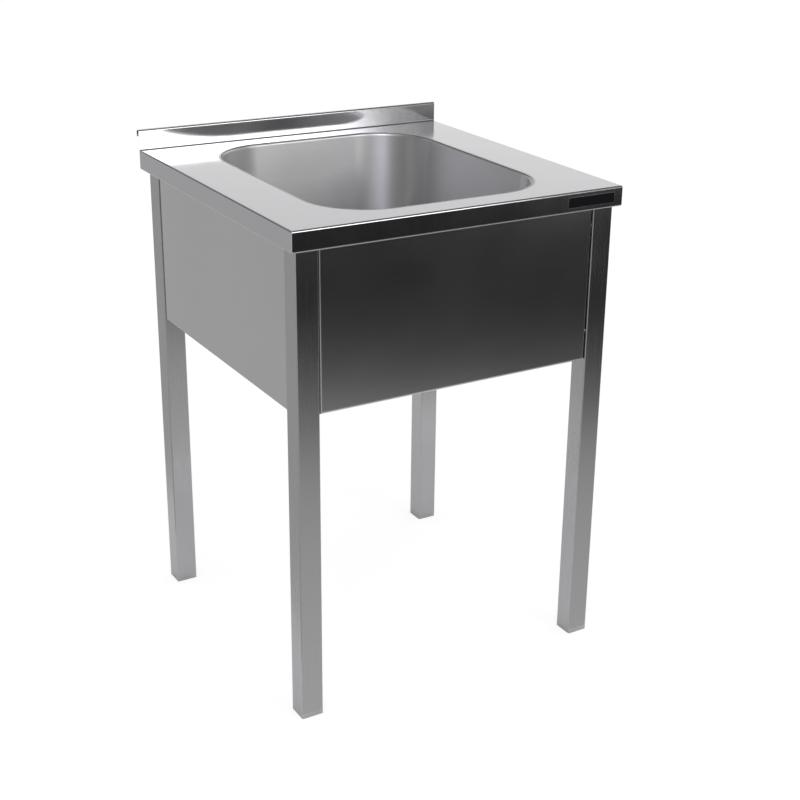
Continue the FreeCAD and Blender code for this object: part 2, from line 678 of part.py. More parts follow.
def make_deck_brace(side):
    """A top-hat stiffener under the deck between the bowl and one side."""
    inner_x = BOWL_WIDTH / 2 + BOWL_SHEET + BRACE_WALL_GAP
    centre = side * (inner_x + BRACE_WIDTH / 2)
    flange_z = DECK_UNDERSIDE - BRACE_SHEET / 2
    crown_z = DECK_UNDERSIDE - BRACE_DROP + BRACE_SHEET / 2
    web = BRACE_CROWN / 2 - BRACE_SHEET / 2
    run = [
        (centre - BRACE_WIDTH / 2, flange_z),
        (centre - web, flange_z),
        (centre - web, crown_z),
        (centre + web, crown_z),
        (centre + web, flange_z),
        (centre + BRACE_WIDTH / 2, flange_z),
    ]
    start = SKIRT_FRONT_Y + SKIRT_FLANGE + BRACE_END_GAP
    finish = RAIL_Y - SKIRT_FLANGE - BRACE_END_GAP
    return bent_sheet(run, BRACE_SHEET, BRACE_FOLD, on_xz(start)).extrude(Vector(0, finish - start, 0))


def make_sound_pad(side):
    """A damping pad stuck to the outside of one long wall of the bowl."""
    layer = bowl_block(BOWL_SHEET + PAD_THICKNESS).cut(bowl_block(BOWL_SHEET))
    top = DECK_HEIGHT - PAD_TOP_DROP
    front_low = (0, BOWL_Y - PAD_LENGTH / 2, top - PAD_HEIGHT)
    window = box_between(front_low, (BOWL_WIDTH, BOWL_Y + PAD_LENGTH / 2, top))
    if side < 0:
        window.translate(Vector(-BOWL_WIDTH, 0, 0))
    return layer.common(window)


def make_earth_tab():
    """The bonding tab under the rear rail, with the hole for a bonding screw."""
    back = RAIL_Y - SKIRT_BEND
    run = [
        (back - TAB_SEAT, RAIL_BOTTOM - TAB_SHEET / 2),
        (back, RAIL_BOTTOM - TAB_SHEET / 2),
        (back, RAIL_BOTTOM - TAB_DROP),
    ]
    tab = bent_sheet(run, TAB_SHEET, TAB_SHEET, on_yz(TAB_OFFSET)).extrude(Vector(TAB_WIDTH, 0, 0))
    hole = Vector(TAB_OFFSET + TAB_WIDTH / 2, back, RAIL_BOTTOM - TAB_DROP + TAB_HOLE_RISE)
    return drilled(tab, [(hole, Vector(0, 1, 0))], TAB_HOLE_RADIUS, 2 * TAB_SHEET)


def make_strainer_body():
    """The flanged cup that hangs in the drain seat, with the threaded neck under it."""
    flange_bottom = WASTE_TOP - WASTE_FLANGE_SHEET
    cup_underside = CUP_FLOOR - WASTE_WALL
    return turned(
        [
            (CUP_BORE, WASTE_TOP, WASTE_THROAT),
            (CUP_BORE, CUP_FLOOR, WASTE_THROAT),
            (NECK_BORE, CUP_FLOOR, WASTE_WALL / 2),
            (NECK_BORE, NECK_END, 0),
            (NECK_RADIUS, NECK_END, 0),
            (NECK_RADIUS, cup_underside, 0),
            (WASTE_CUP_RADIUS, cup_underside, WASTE_THROAT),
            (WASTE_CUP_RADIUS, flange_bottom, WASTE_THROAT - WASTE_FLANGE_SHEET),
            (WASTE_FLANGE_RADIUS, flange_bottom, 0),
            (WASTE_FLANGE_RADIUS, WASTE_TOP, WASTE_FLANGE_SHEET / 2),
        ]
    )


def make_flange_gasket():
    """The seal between the waste flange and the drain seat."""
    inner = WASTE_CUP_RADIUS + WASTE_THROAT
    return washer(inner, WASTE_FLANGE_RADIUS, SEAT_TOP, FLANGE_GASKET_SHEET)


def clamp_heights():
    """Return the lower faces of the body gasket, the friction washer and the locknut."""
    gasket = SEAT_TOP - BOWL_SHEET - BODY_GASKET_SHEET
    friction = gasket - FRICTION_WASHER_SHEET
    return gasket, friction, friction - LOCKNUT_HEIGHT


def make_body_gasket():
    """The rubber ring under the drain seat."""
    inner = WASTE_CUP_RADIUS + RING_CLEARANCE
    return washer(inner, BODY_GASKET_RADIUS, clamp_heights()[0], BODY_GASKET_SHEET)


def make_friction_washer():
    """The slip ring between the rubber and the locknut."""
    inner = WASTE_CUP_RADIUS + RING_CLEARANCE
    return washer(inner, FRICTION_WASHER_RADIUS, clamp_heights()[1], FRICTION_WASHER_SHEET)


def make_drain_locknut():
    """The ring nut that clamps the waste body, with lugs to turn it by."""
    bottom = clamp_heights()[2]
    inner = WASTE_CUP_RADIUS + THREAD_CLEARANCE
    ring = washer(inner, LOCKNUT_RADIUS, bottom, LOCKNUT_HEIGHT)
    middle = (inner + LOCKNUT_RADIUS) / 2
    lug = box_between(
        (middle, BOWL_Y - LOCKNUT_LUG_WIDTH / 2, bottom),
        (LOCKNUT_RADIUS + LOCKNUT_LUG, BOWL_Y + LOCKNUT_LUG_WIDTH / 2, bottom + LOCKNUT_LUG_HEIGHT),
    )
    return ring.fuse(ring_of(LOCKNUT_LUGS, lug)).removeSplitter()


def make_tail_washer():
    """The seal between the neck and the outlet pipe."""
    return washer(NECK_BORE, TAIL_FLANGE_RADIUS, NECK_END - TAIL_WASHER_SHEET, TAIL_WASHER_SHEET)


def make_tailpiece():
    """The outlet pipe, hung in the coupling nut by the flange at its upper end, with a collar under it."""
    top = NECK_END - TAIL_WASHER_SHEET
    flange_bottom = top - TAIL_FLANGE_SHEET
    collar_bottom = flange_bottom - COUPLING_SHOULDER
    collar_radius = TAIL_RADIUS + TAIL_COLLAR
    bottom = top - TAIL_LENGTH
    bore = TAIL_RADIUS - TAIL_WALL
    return turned(
        [
            (bore, top, 0),
            (bore, bottom, 0),
            (TAIL_RADIUS, bottom, 0),
            (TAIL_RADIUS, collar_bottom, 0),
            (collar_radius, collar_bottom, 0),
            (collar_radius, flange_bottom, 0),
            (TAIL_FLANGE_RADIUS, flange_bottom, 0),
            (TAIL_FLANGE_RADIUS, top, 0),
        ]
    )


def make_coupling_nut():
    """The hexagon nut that holds the outlet pipe's flange against the neck."""
    shoulder_top = NECK_END - TAIL_WASHER_SHEET - TAIL_FLANGE_SHEET
    bottom = shoulder_top - COUPLING_SHOULDER
    top = NECK_END + COUPLING_GRIP
    across_corners = COUPLING_FLATS / math.cos(math.pi / 6)
    corners = []
    for index in range(6):
        angle = math.pi / 3 * index
        reach = across_corners / 2
        corners.append((reach * math.cos(angle), BOWL_Y + reach * math.sin(angle), COUPLING_SHOULDER))
    nut = profile_face(corners, on_xy(bottom)).extrude(Vector(0, 0, top - bottom))
    thread_radius = NECK_RADIUS + THREAD_CLEARANCE
    thread = Part.makeCylinder(thread_radius, top - shoulder_top, Vector(0, BOWL_Y, shoulder_top))
    throat_radius = TAIL_RADIUS + TAIL_COLLAR + RING_CLEARANCE
    throat = Part.makeCylinder(throat_radius, top - bottom, Vector(0, BOWL_Y, bottom))
    return nut.cut([thread, throat])


def make_strainer_basket():
    """The perforated basket that lifts out of the waste body."""
    rim_top = BASKET_FLOOR + BASKET_HEIGHT
    upper = BASKET_RIM_RADIUS - BASKET_RIM
    lower = upper - BASKET_TAPER
    inner_bend = BASKET_FLOOR_BEND - BASKET_SHEET
    basket = turned(
        [
            (POST_RADIUS + POST_CLEARANCE, BASKET_FLOOR, 0),
            (lower, BASKET_FLOOR, BASKET_FLOOR_BEND),
            (upper, rim_top - BASKET_SHEET, 0),
            (BASKET_RIM_RADIUS, rim_top - BASKET_SHEET, 0),
            (BASKET_RIM_RADIUS, rim_top, 0),
            (upper - BASKET_SHEET, rim_top, BASKET_SHEET),
            (lower - BASKET_SHEET, BASKET_FLOOR + BASKET_SHEET, inner_bend),
            (POST_RADIUS + POST_CLEARANCE, BASKET_FLOOR + BASKET_SHEET, 0),
        ]
    )
    holes = []
    rings = ((BASKET_INNER_RING, BASKET_INNER_HOLES), (BASKET_OUTER_RING, BASKET_OUTER_HOLES))
    for ring_radius, count in rings:
        centre = Vector(ring_radius, BOWL_Y, BASKET_FLOOR - BASKET_SHEET)
        holes += ring_of(count, Part.makeCylinder(BASKET_HOLE_RADIUS, 3 * BASKET_SHEET, centre))
    middle = Vector(lower / 2, BOWL_Y, BASKET_FLOOR + BASKET_HEIGHT / 2)
    wall_hole = Part.makeCylinder(BASKET_HOLE_RADIUS, WASTE_CUP_RADIUS, middle, Vector(1, 0, 0))
    return basket.cut(holes + ring_of(BASKET_WALL_HOLES, wall_hole))


def make_basket_stopper():
    """The rubber disc under the basket that closes the neck."""
    corners = [
        (POST_RADIUS + POST_CLEARANCE, STOPPER_BOTTOM, 0),
        (STOPPER_RADIUS, STOPPER_BOTTOM, STOPPER_ROUND),
        (STOPPER_RADIUS, BASKET_FLOOR, STOPPER_ROUND),
        (POST_RADIUS + POST_CLEARANCE, BASKET_FLOOR, 0),
    ]
    return turned(corners)


def make_basket_knob():
    """The knob with its collar on the basket's floor and its post through basket and stopper."""
    collar_bottom = BASKET_FLOOR + BASKET_SHEET
    head_bottom = collar_bottom + KNOB_COLLAR_HEIGHT
    head_top = head_bottom + KNOB_HEIGHT
    tip = STOPPER_BOTTOM - CLIP_SHEET - POST_TIP
    return turned(
        [
            (0, tip, 0),
            (POST_RADIUS, tip, POST_ROUND),
            (POST_RADIUS, collar_bottom, 0),
            (KNOB_COLLAR_RADIUS, collar_bottom, 0),
            (KNOB_COLLAR_RADIUS, head_bottom, 0),
            (KNOB_RADIUS, head_bottom, KNOB_LOWER_ROUND),
            (KNOB_RADIUS, head_top, KNOB_UPPER_ROUND),
            (0, head_top, 0),
        ]
    )


def make_basket_clip():
    """The snap ring on the post that keeps the stopper on."""
    return washer(POST_RADIUS, CLIP_RADIUS, STOPPER_BOTTOM - CLIP_SHEET, CLIP_SHEET)


def build_nodes():
    """Return every node of the sink by name."""
    nodes = {
        "deck_top": make_deck_top(),
        "sink_bowl": make_sink_bowl(),
        "leg_screws": make_leg_screws(),
        "rivet_nuts": make_rivet_nuts(),
        "skirt_screws": make_skirt_screws(),
        "skirt_front": make_skirt_front(),
        "skirt_left": make_skirt_side(-1),
        "skirt_right": make_skirt_side(1),
        "rear_rail": make_rear_rail(),
        "deck_brace_left": make_deck_brace(-1),
        "deck_brace_right": make_deck_brace(1),
        "sound_pad_left": make_sound_pad(-1),
        "sound_pad_right": make_sound_pad(1),
        "earth_tab": make_earth_tab(),
        "strainer_body": make_strainer_body(),
        "flange_gasket": make_flange_gasket(),
        "body_gasket": make_body_gasket(),
        "friction_washer": make_friction_washer(),
        "drain_locknut": make_drain_locknut(),
        "tail_washer": make_tail_washer(),
        "tailpiece": make_tailpiece(),
        "coupling_nut": make_coupling_nut(),
        "strainer_basket": make_strainer_basket(),
        "basket_stopper": make_basket_stopper(),
        "basket_knob": make_basket_knob(),
        "basket_clip": make_basket_clip(),
    }
    for corner, side, end in CORNERS:
        nodes["leg_" + corner] = make_leg(side, end)
        nodes["foot_plug_" + corner] = make_foot_plug(side, end)
        nodes["leg_socket_" + corner] = make_leg_socket(side, end)
    return nodes


def main():
    """Write one STEP file for each node and print what each holds."""
    os.makedirs("parts", exist_ok=True)
    for name, shape in sorted(build_nodes().items()):
        shape.exportStep("parts/" + name + ".step")
        print(f"{name}: {len(shape.Solids)} solid(s), valid {shape.isValid()}, volume {shape.Volume:.0f} mm3")


main()
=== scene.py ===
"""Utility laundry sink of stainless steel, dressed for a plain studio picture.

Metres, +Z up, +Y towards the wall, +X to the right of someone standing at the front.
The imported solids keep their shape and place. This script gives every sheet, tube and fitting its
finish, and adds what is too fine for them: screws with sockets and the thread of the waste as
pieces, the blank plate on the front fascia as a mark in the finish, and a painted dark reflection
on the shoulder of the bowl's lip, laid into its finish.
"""

import json
import logging
import math
from dataclasses import dataclass, field
from enum import Enum

import bmesh
import bpy
import numpy as np
from mathutils import Matrix, Vector

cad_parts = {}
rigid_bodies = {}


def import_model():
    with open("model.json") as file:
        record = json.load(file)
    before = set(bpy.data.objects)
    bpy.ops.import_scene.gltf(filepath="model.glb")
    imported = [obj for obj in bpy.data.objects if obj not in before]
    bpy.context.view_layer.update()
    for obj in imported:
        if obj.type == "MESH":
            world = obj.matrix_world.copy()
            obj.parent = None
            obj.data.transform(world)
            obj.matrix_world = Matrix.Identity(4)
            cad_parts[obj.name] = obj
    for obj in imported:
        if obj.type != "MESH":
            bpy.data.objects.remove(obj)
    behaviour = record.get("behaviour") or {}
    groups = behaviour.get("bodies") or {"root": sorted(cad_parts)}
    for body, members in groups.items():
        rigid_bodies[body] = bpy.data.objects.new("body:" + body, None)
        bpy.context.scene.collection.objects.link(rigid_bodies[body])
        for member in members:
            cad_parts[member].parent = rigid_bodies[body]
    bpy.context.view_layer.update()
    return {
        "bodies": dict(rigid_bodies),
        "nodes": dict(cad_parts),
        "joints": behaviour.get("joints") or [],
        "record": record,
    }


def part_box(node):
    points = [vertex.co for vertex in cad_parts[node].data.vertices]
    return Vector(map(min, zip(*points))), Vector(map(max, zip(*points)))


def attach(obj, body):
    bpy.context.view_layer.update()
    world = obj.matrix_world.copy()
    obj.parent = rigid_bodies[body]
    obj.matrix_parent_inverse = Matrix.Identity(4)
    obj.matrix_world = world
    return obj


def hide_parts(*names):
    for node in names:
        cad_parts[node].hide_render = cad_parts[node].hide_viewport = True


LOG = logging.getLogger("laundry_sink")
Colour = tuple[float, float, float]
Point = tuple[float, float, float]
Stops = tuple[tuple[float, float], ...]  # (value, grey) pairs in rising order
Socket = bpy.types.NodeSocket
WHITE = (1, 1, 1, 1)
NOISE_RANGE = (0.3, 0.7)  # nearly all values of a noise texture lie between these
NOISE_ROUGHNESS = 0.55


class Grain(Enum):
    """How the polishing lines of a steel piece run."""

    SHEET = "front to back, and on over the folds at the front and the rear"
    PAN = "level, along the face of a skirt"
    TUBE = "up and down a leg"
    BASIN = "level, round the walls of the bowl"
    SATIN = "none: a fine even satin"


# ---------------------------------------------------------------------------
# Shader building
# ---------------------------------------------------------------------------


class ShaderSheet:
    """The node tree of one material or world, with short calls for adding and joining nodes."""

    def __init__(self, owner: bpy.types.ID) -> None:
        """Empty the owner's tree.

        Args:
            owner: material or world that gets the nodes.
        """
        owner.use_nodes = True
        self.tree = owner.node_tree
        self.tree.nodes.clear()

    def add(self, kind: str, inputs: dict | None = None, **settings: object) -> bpy.types.Node:
        """Add a node.

        Args:
            kind: type name without the common start, such as "TexNoise".
            inputs: values or output sockets for the node's inputs, by name or number.
            settings: values for the node's own properties.

        Returns:
            The new node.
        """
        node = self.tree.nodes.new("ShaderNode" + kind)
        for name, value in settings.items():
            setattr(node, name, value)
        for name, value in (inputs or {}).items():
            if isinstance(value, Socket):
                self.tree.links.new(value, node.inputs[name])
            else:
                node.inputs[name].default_value = value
        return node

    def math(self, operation: str, *values: object) -> Socket:
        """Return the result of a Math node on numbers or sockets."""
        node = self.add("Math", dict(enumerate(values)), operation=operation)
        return node.outputs[0]

    def vector_math(self, operation: str, *values: object) -> Socket:
        """Return the vector result of a Vector Math node on vectors or sockets."""
        node = self.add("VectorMath", dict(enumerate(values)), operation=operation)
        return node.outputs[0]

    def rise(self, value: Socket, start: float, end: float, low: float = 0.0, high: float = 1.0) -> Socket:
        """Return what goes straight from low to high as a value goes from a start to an end.

        Args:
            value: socket that is measured.
            start: up to here the result is low.
            end: from here on the result is high.
            low: result at the start.
            high: result at the end.

        Returns:
            Socket of the result.
        """
        inputs = {"Value": value, "From Min": start, "From Max": end, "To Min": low, "To Max": high}
        return self.add("MapRange", inputs).outputs[0]

    def ranged(self, noise: Socket, low: float, high: float) -> Socket:
        """Return noise spread between a low and a high end."""
        return self.rise(noise, *NOISE_RANGE, low, high)

    def noise(self, vector: Socket, scale: float, detail: float) -> Socket:
        """Return the value of a noise texture."""
        inputs = {"Vector": vector, "Scale": scale, "Detail": detail, "Roughness": NOISE_ROUGHNESS}
        return self.add("TexNoise", inputs).outputs[0]

    def stepped(self, value: Socket, stops: Stops) -> Socket:
        """Return a grey that follows a value from stop to stop.

        Args:
            value: socket that runs from 0 to 1.
            stops: value and grey of each stop.

        Returns:
            Socket of the grey.
        """
        ramp = self.add("ValToRGB", {0: value})
        bar = ramp.color_ramp.elements
        while len(bar) < len(stops):
            bar.new(0.5)  # gets its own place below
        for mark, (place, grey) in zip(bar, stops):
            mark.position = place
            mark.color = (grey, grey, grey, 1.0)
        return ramp.outputs[0]

    def shaded(self, tint: Colour, shade: Socket) -> Socket:
        """Return a colour times a shade."""
        grey = self.add("CombineXYZ", {0: shade, 1: shade, 2: shade}).outputs[0]
        return self.vector_math("MULTIPLY", tint, grey)

    def blend(self, share: Socket, first: Socket, second: Colour) -> Socket:
        """Return a first colour, or a second one where the share is 1."""
        return self.add("Mix", {0: share, 6: first, 7: (*second, 1.0)}, data_type="RGBA").outputs[2]

    def emission(self, strength: float | Socket) -> Socket:
        """Return a shader that gives off white light."""
        return self.add("Emission", {"Color": WHITE, "Strength": strength}).outputs[0]

    def finish(self, shader: Socket, kind: str = "OutputMaterial") -> None:
        """Join a shader to the output of the tree, of the given kind."""
        self.tree.links.new(shader, self.add(kind).inputs["Surface"])


def new_material(name: str) -> tuple[bpy.types.Material, ShaderSheet]:
    """Return a new material with its emptied sheet of nodes."""
    material = bpy.data.materials.new(name)
    return material, ShaderSheet(material)


# ---------------------------------------------------------------------------
# Finishes
# ---------------------------------------------------------------------------


@dataclass(frozen=True)
class BlankPlate:
    """The thin black plate let into the right end of the front fascia, flush with it and left bare."""

    width: float = 0.092
    height: float = 0.0172
    corner: float = 0.0012
    bevel: float = 0.0005
    relief: float = 0.00018
    right_margin: float = 0.0172  # plate to the right side fascia
    drop: float = 0.0085  # deck top to the plate
    face_depth: float = 0.0004  # how far behind the fascia's face the plate still shows
    tint: Colour = (0.004, 0.004, 0.005)
    roughness: float = 0.2
    edge_softness: float = 0.00012

    def middle(self) -> tuple[float, float]:
        """Work out the plate's middle from the deck's right side and top.

        Returns:
            Its x and its z: margin and half the width from the side, drop and half the height down.
        """
        _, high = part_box("deck_top")
        deck_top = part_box("sink_bowl")[1].z
        return high.x - self.right_margin - self.width / 2, deck_top - self.drop - self.height / 2

    def inset(self, sheet: ShaderSheet, place: Socket) -> Socket:
        """Return how far a point of the fascia's face lies inside the plate's outline.

        The outline is a rounded rectangle. The distance from it is the length of what sticks out
        past the corner centres, plus what is left of the larger of both when nothing sticks out,
        less the corner radius. Behind the fascia's face the result is below zero.

        Args:
            sheet: nodes of the material.
            place: position on the piece.

        Returns:
            Socket of the distance in metres, above zero inside.
        """
        x, y, z = sheet.add("SeparateXYZ", {0: place}).outputs
        middle_x, middle_z = self.middle()
        past = []
        for value, middle, size in ((x, middle_x, self.width), (z, middle_z, self.height)):
            away = sheet.math("ABSOLUTE", sheet.math("SUBTRACT", value, middle))
            past.append(sheet.math("SUBTRACT", away, size / 2 - self.corner))
        squares = [sheet.math("POWER", sheet.math("MAXIMUM", value, 0.0), 2.0) for value in past]
        outside = sheet.math("SQRT", sheet.math("ADD", *squares))
        within = sheet.math("MINIMUM", sheet.math("MAXIMUM", *past), 0.0)
        inside = sheet.math("SUBTRACT", self.corner, sheet.math("ADD", outside, within))
        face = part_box("deck_top")[0].y + self.face_depth
        in_front = sheet.math("SUBTRACT", face, y)
        return sheet.math("MINIMUM", inside, in_front)

    def mark(self, sheet: ShaderSheet, place: Socket, inputs: dict) -> dict:
        """Return a steel shader's inputs with the plate laid into them.

        Args:
            sheet: nodes of the material.
            place: position on the piece.
            inputs: inputs of the steel shader, by name.

        Returns:
            The inputs, with colour, metal, roughness and normal changed on the plate.
        """
        inset = self.inset(sheet, place)
        share = sheet.rise(inset, -self.edge_softness, self.edge_softness)
        steel_share = sheet.math("SUBTRACT", 1.0, share)
        raised = sheet.rise(inset, 0.0, self.bevel)
        bump = {"Strength": 1.0, "Distance": self.relief, "Height": raised, "Normal": inputs["Normal"]}
        steel_roughness = sheet.math("MULTIPLY", inputs["Roughness"], steel_share)
        return inputs | {
            "Base Color": sheet.blend(share, inputs["Base Color"], self.tint),
            "Metallic": steel_share,
            "Roughness": sheet.math("MULTIPLY_ADD", share, self.roughness, steel_roughness),
            "Normal": sheet.add("Bump", bump).outputs[0],
        }


@dataclass(frozen=True)
class PaintedLipReflection:
    """A painted dark reflection: a dark line painted on the shoulder of the bowl's lip, where its curve
    reflects a dark part of the surroundings.
    """

    start: float = 0.00004  # depth below the flat rim
    end: float = 0.0007
    edge_softness: float = 0.0002
    # colour of the painted dark reflection on the lip's shoulder
    tint: Colour = (0.12, 0.12, 0.12)

    def mark(self, sheet: ShaderSheet, place: Socket, inputs: dict) -> dict:
        """Return a steel shader's inputs with the painted dark reflection laid into them.

        By the depth below the rim, the painted reflection's share rises to 1 at its start and falls back at
        its end.

        Args:
            sheet: nodes of the material.
            place: position on the piece.
            inputs: inputs of the steel shader, by name.

        Returns:
            The inputs, with the colour darkened where the reflection is painted.
        """
        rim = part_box("sink_bowl")[1].z
        depth = sheet.math("SUBTRACT", rim, sheet.add("SeparateXYZ", {0: place}).outputs[2])
        started = sheet.rise(depth, self.start, 2 * self.start)
        ended = sheet.rise(depth, self.end, self.end + self.edge_softness)
        share = sheet.math("SUBTRACT", started, ended)
        return inputs | {"Base Color": sheet.blend(share, inputs["Base Color"], self.tint)}


@dataclass(frozen=True)
class BrushedSteel:
    """Stainless steel with polishing lines, or with a fine satin.

    The lines are noise drawn out along the grain. They tilt the surface a little, change how dull
    it is, and stretch every reflection across themselves. Wide, faint clouds break up large faces.
    A marking, or a painted dark reflection, where there is one, is laid into the finish.
    """

    name: str
    tint: Colour
    roughness: float
    grain: Grain
    stretch: float  # how much reflections are drawn out across the lines, 0 to 1
    line_width: float = 0.0011
    line_length: float = 0.16
    line_relief: float = 0.000002
    relief_strength: float = 0.6
    line_detail: float = 3.0
    line_shade: float = 0.975  # of the darkest lines
    cloud_size: float = 0.16
    cloud_detail: float = 2.0
    cloud_shade: float = 0.012  # how much the clouds lighten and darken
    unevenness: float = 0.03  # how much lines and clouds change the roughness
    side_facing: float = 0.7  # a face that looks sideways by more than this is a side of the sheet
    flat_way: Point = (0.02, 0.0, 0.0)  # the way of the lines where a basin's floor is level
    marking_or_painted_reflection: BlankPlate | PaintedLipReflection | None = None

    def build(self) -> bpy.types.Material:
        """Make the material.

        Returns:
            The new material.
        """
        material, sheet = new_material(self.name)
        place = sheet.add("TexCoord").outputs["Object"]
        normal = sheet.add("NewGeometry").outputs["Normal"]
        across, grain_way = self.grain_axes(sheet, place, normal)
        lines = sheet.noise(across, 1.0, self.line_detail)
        clouds = sheet.noise(place, 1.0 / self.cloud_size, self.cloud_detail)
        dulling = [sheet.ranged(noise, -self.unevenness, self.unevenness) for noise in (clouds, lines)]
        line_shade = sheet.ranged(lines, self.line_shade, 1.0)
        shade = sheet.math("ADD", line_shade, sheet.ranged(clouds, -self.cloud_shade, self.cloud_shade))
        relief = {"Strength": self.relief_strength, "Distance": self.line_relief, "Height": lines}
        inputs = {
            "Base Color": sheet.shaded(self.tint, shade),
            "Metallic": 1.0,
            "Roughness": sheet.math("ADD", sheet.math("ADD", *dulling), self.roughness),
            "Anisotropic": self.stretch,
            "Normal": sheet.add("Bump", relief).outputs[0],
        }
        if self.grain is not Grain.SATIN:
            inputs["Tangent"] = sheet.vector_math("CROSS_PRODUCT", normal, grain_way)
        if self.marking_or_painted_reflection:
            inputs = self.marking_or_painted_reflection.mark(sheet, place, inputs)
        sheet.finish(sheet.add("BsdfPrincipled", inputs).outputs[0])
        return material

    def grain_axes(self, sheet: ShaderSheet, place: Socket, normal: Socket) -> tuple[Socket, Socket]:
        """Work out where the lines run on each face.

        Args:
            sheet: nodes of the material.
            place: position on the piece.
            normal: direction that the surface faces.

        Returns:
            The noise position, drawn out along the lines, and the direction of the lines.
        """
        x, y, z = sheet.add("SeparateXYZ", {0: place}).outputs
        if self.grain is Grain.SATIN:
            fine = sheet.vector_math("SCALE", place)
            fine.node.inputs["Scale"].default_value = 1.0 / self.line_width
            return fine, sheet.add("CombineXYZ", {2: 1.0}).outputs[0]
        if self.grain is Grain.BASIN:
            sizes = (self.line_length, self.line_length, self.line_width)
            level = sheet.vector_math("CROSS_PRODUCT", normal, (0.0, 0.0, 1.0))
            return sheet.vector_math("DIVIDE", place, sizes), sheet.vector_math("ADD", level, self.flat_way)
        if self.grain is Grain.TUBE:
            over, on_way = sheet.math("ADD", x, y), z
            way = sheet.add("CombineXYZ", {2: 1.0}).outputs[0]
        elif self.grain is Grain.PAN:
            over, on_way = z, sheet.math("ADD", x, y)
            way = sheet.add("CombineXYZ", {0: 1.0, 1: 1.0}).outputs[0]
        else:
            faces = sheet.add("SeparateXYZ", {0: normal}).outputs[0]
            is_side = sheet.math("GREATER_THAN", sheet.math("ABSOLUTE", faces), self.side_facing)
            is_other = sheet.math("SUBTRACT", 1.0, is_side)
            over = sheet.math("ADD", sheet.math("MULTIPLY", z, is_side), sheet.math("MULTIPLY", x, is_other))
            on_way = sheet.math("ADD", y, sheet.math("MULTIPLY", z, is_other))
            way = sheet.add("CombineXYZ", {1: 1.0, 2: is_other}).outputs[0]
        over = sheet.math("DIVIDE", over, self.line_width)
        on_way = sheet.math("DIVIDE", on_way, self.line_length)
        return sheet.add("CombineXYZ", {0: over, 1: on_way}).outputs[0], way


@dataclass(frozen=True)
class Moulded:
    """Moulded plastic or rubber: a plain colour with a faint skin texture and uneven dullness."""

    name: str
    tint: Colour
    roughness: float
    skin_size: float = 0.0008
    skin_relief: float = 0.00002
    relief_strength: float = 0.5
    detail: float = 2.0
    cloud_growth: float = 50.0  # how many times larger than the skin's texture the clouds are
    unevenness: float = 0.05  # how much the clouds change the roughness
    cloud_shade: float = 0.93  # of the darkest clouds
    gloss_coat: float = 0.0

    def build(self) -> bpy.types.Material:
        """Make the material.

        Returns:
            The new material.
        """
        material, sheet = new_material(self.name)
        place = sheet.add("TexCoord").outputs["Object"]
        skin = sheet.noise(place, 1.0 / self.skin_size, self.detail)
        clouds = sheet.noise(place, 1.0 / (self.cloud_growth * self.skin_size), self.detail)
        dulling = sheet.ranged(clouds, -self.unevenness, self.unevenness)
        relief = {"Strength": self.relief_strength, "Distance": self.skin_relief, "Height": skin}
        inputs = {
            "Base Color": sheet.shaded(self.tint, sheet.ranged(clouds, self.cloud_shade, 1.0)),
            "Roughness": sheet.math("ADD", dulling, self.roughness),
            "Coat Weight": self.gloss_coat,
            "Normal": sheet.add("Bump", relief).outputs[0],
        }
        sheet.finish(sheet.add("BsdfPrincipled", inputs).outputs[0])
        return material


FINISHES: dict[str, BrushedSteel | Moulded] = {
    "deck_steel": BrushedSteel(
        "deck_steel", (0.585, 0.585, 0.60), 0.15, Grain.SHEET, 0.5, line_relief=0.000001, marking_or_painted_reflection=BlankPlate()
    ),
    # the bowl's finish carries a painted dark reflection on the shoulder of its lip
    "bowl_steel": BrushedSteel(
        "bowl_steel", (0.72, 0.713, 0.713), 0.36, Grain.BASIN, 0.62, line_width=0.0016, marking_or_painted_reflection=PaintedLipReflection()
    ),
    "skirt_steel": BrushedSteel("skirt_steel", (0.60, 0.60, 0.605), 0.15, Grain.PAN, 0.4, unevenness=0.01),
    "leg_steel": BrushedSteel("leg_steel", (0.49, 0.485, 0.49), 0.25, Grain.TUBE, 0.7, line_width=0.0016),
    "bracket_steel": BrushedSteel("bracket_steel", (0.50, 0.50, 0.50), 0.36, Grain.SATIN, 0.0),
    "fastener_steel": BrushedSteel("fastener_steel", (0.58, 0.58, 0.59), 0.22, Grain.SATIN, 0.0),
    "waste_steel": BrushedSteel("waste_steel", (0.72, 0.72, 0.73), 0.12, Grain.SATIN, 0.0),
    "waste_plastic": Moulded("waste_plastic", (0.86, 0.86, 0.84), 0.34, gloss_coat=0.2),
    "plug_plastic": Moulded("plug_plastic", (0.045, 0.045, 0.045), 0.5),
    "seal_rubber": Moulded("seal_rubber", (0.03, 0.03, 0.03), 0.62),
    "damping_rubber": Moulded(
        "damping_rubber", (0.09, 0.09, 0.092), 0.78, skin_size=0.003, skin_relief=0.0002
    ),
}


# ---------------------------------------------------------------------------
# Surfaces
# ---------------------------------------------------------------------------


def placed_object(name: str, data: bpy.types.ID) -> bpy.types.Object:
    """Put an object of a mesh, lamp or camera into the scene.

    Args:
        name: name of the object.
        data: its mesh, lamp or camera.

    Returns:
        The new object, at the origin.
    """
    holder = bpy.data.objects.new(name, data)
    bpy.context.scene.collection.objects.link(holder)
    return holder


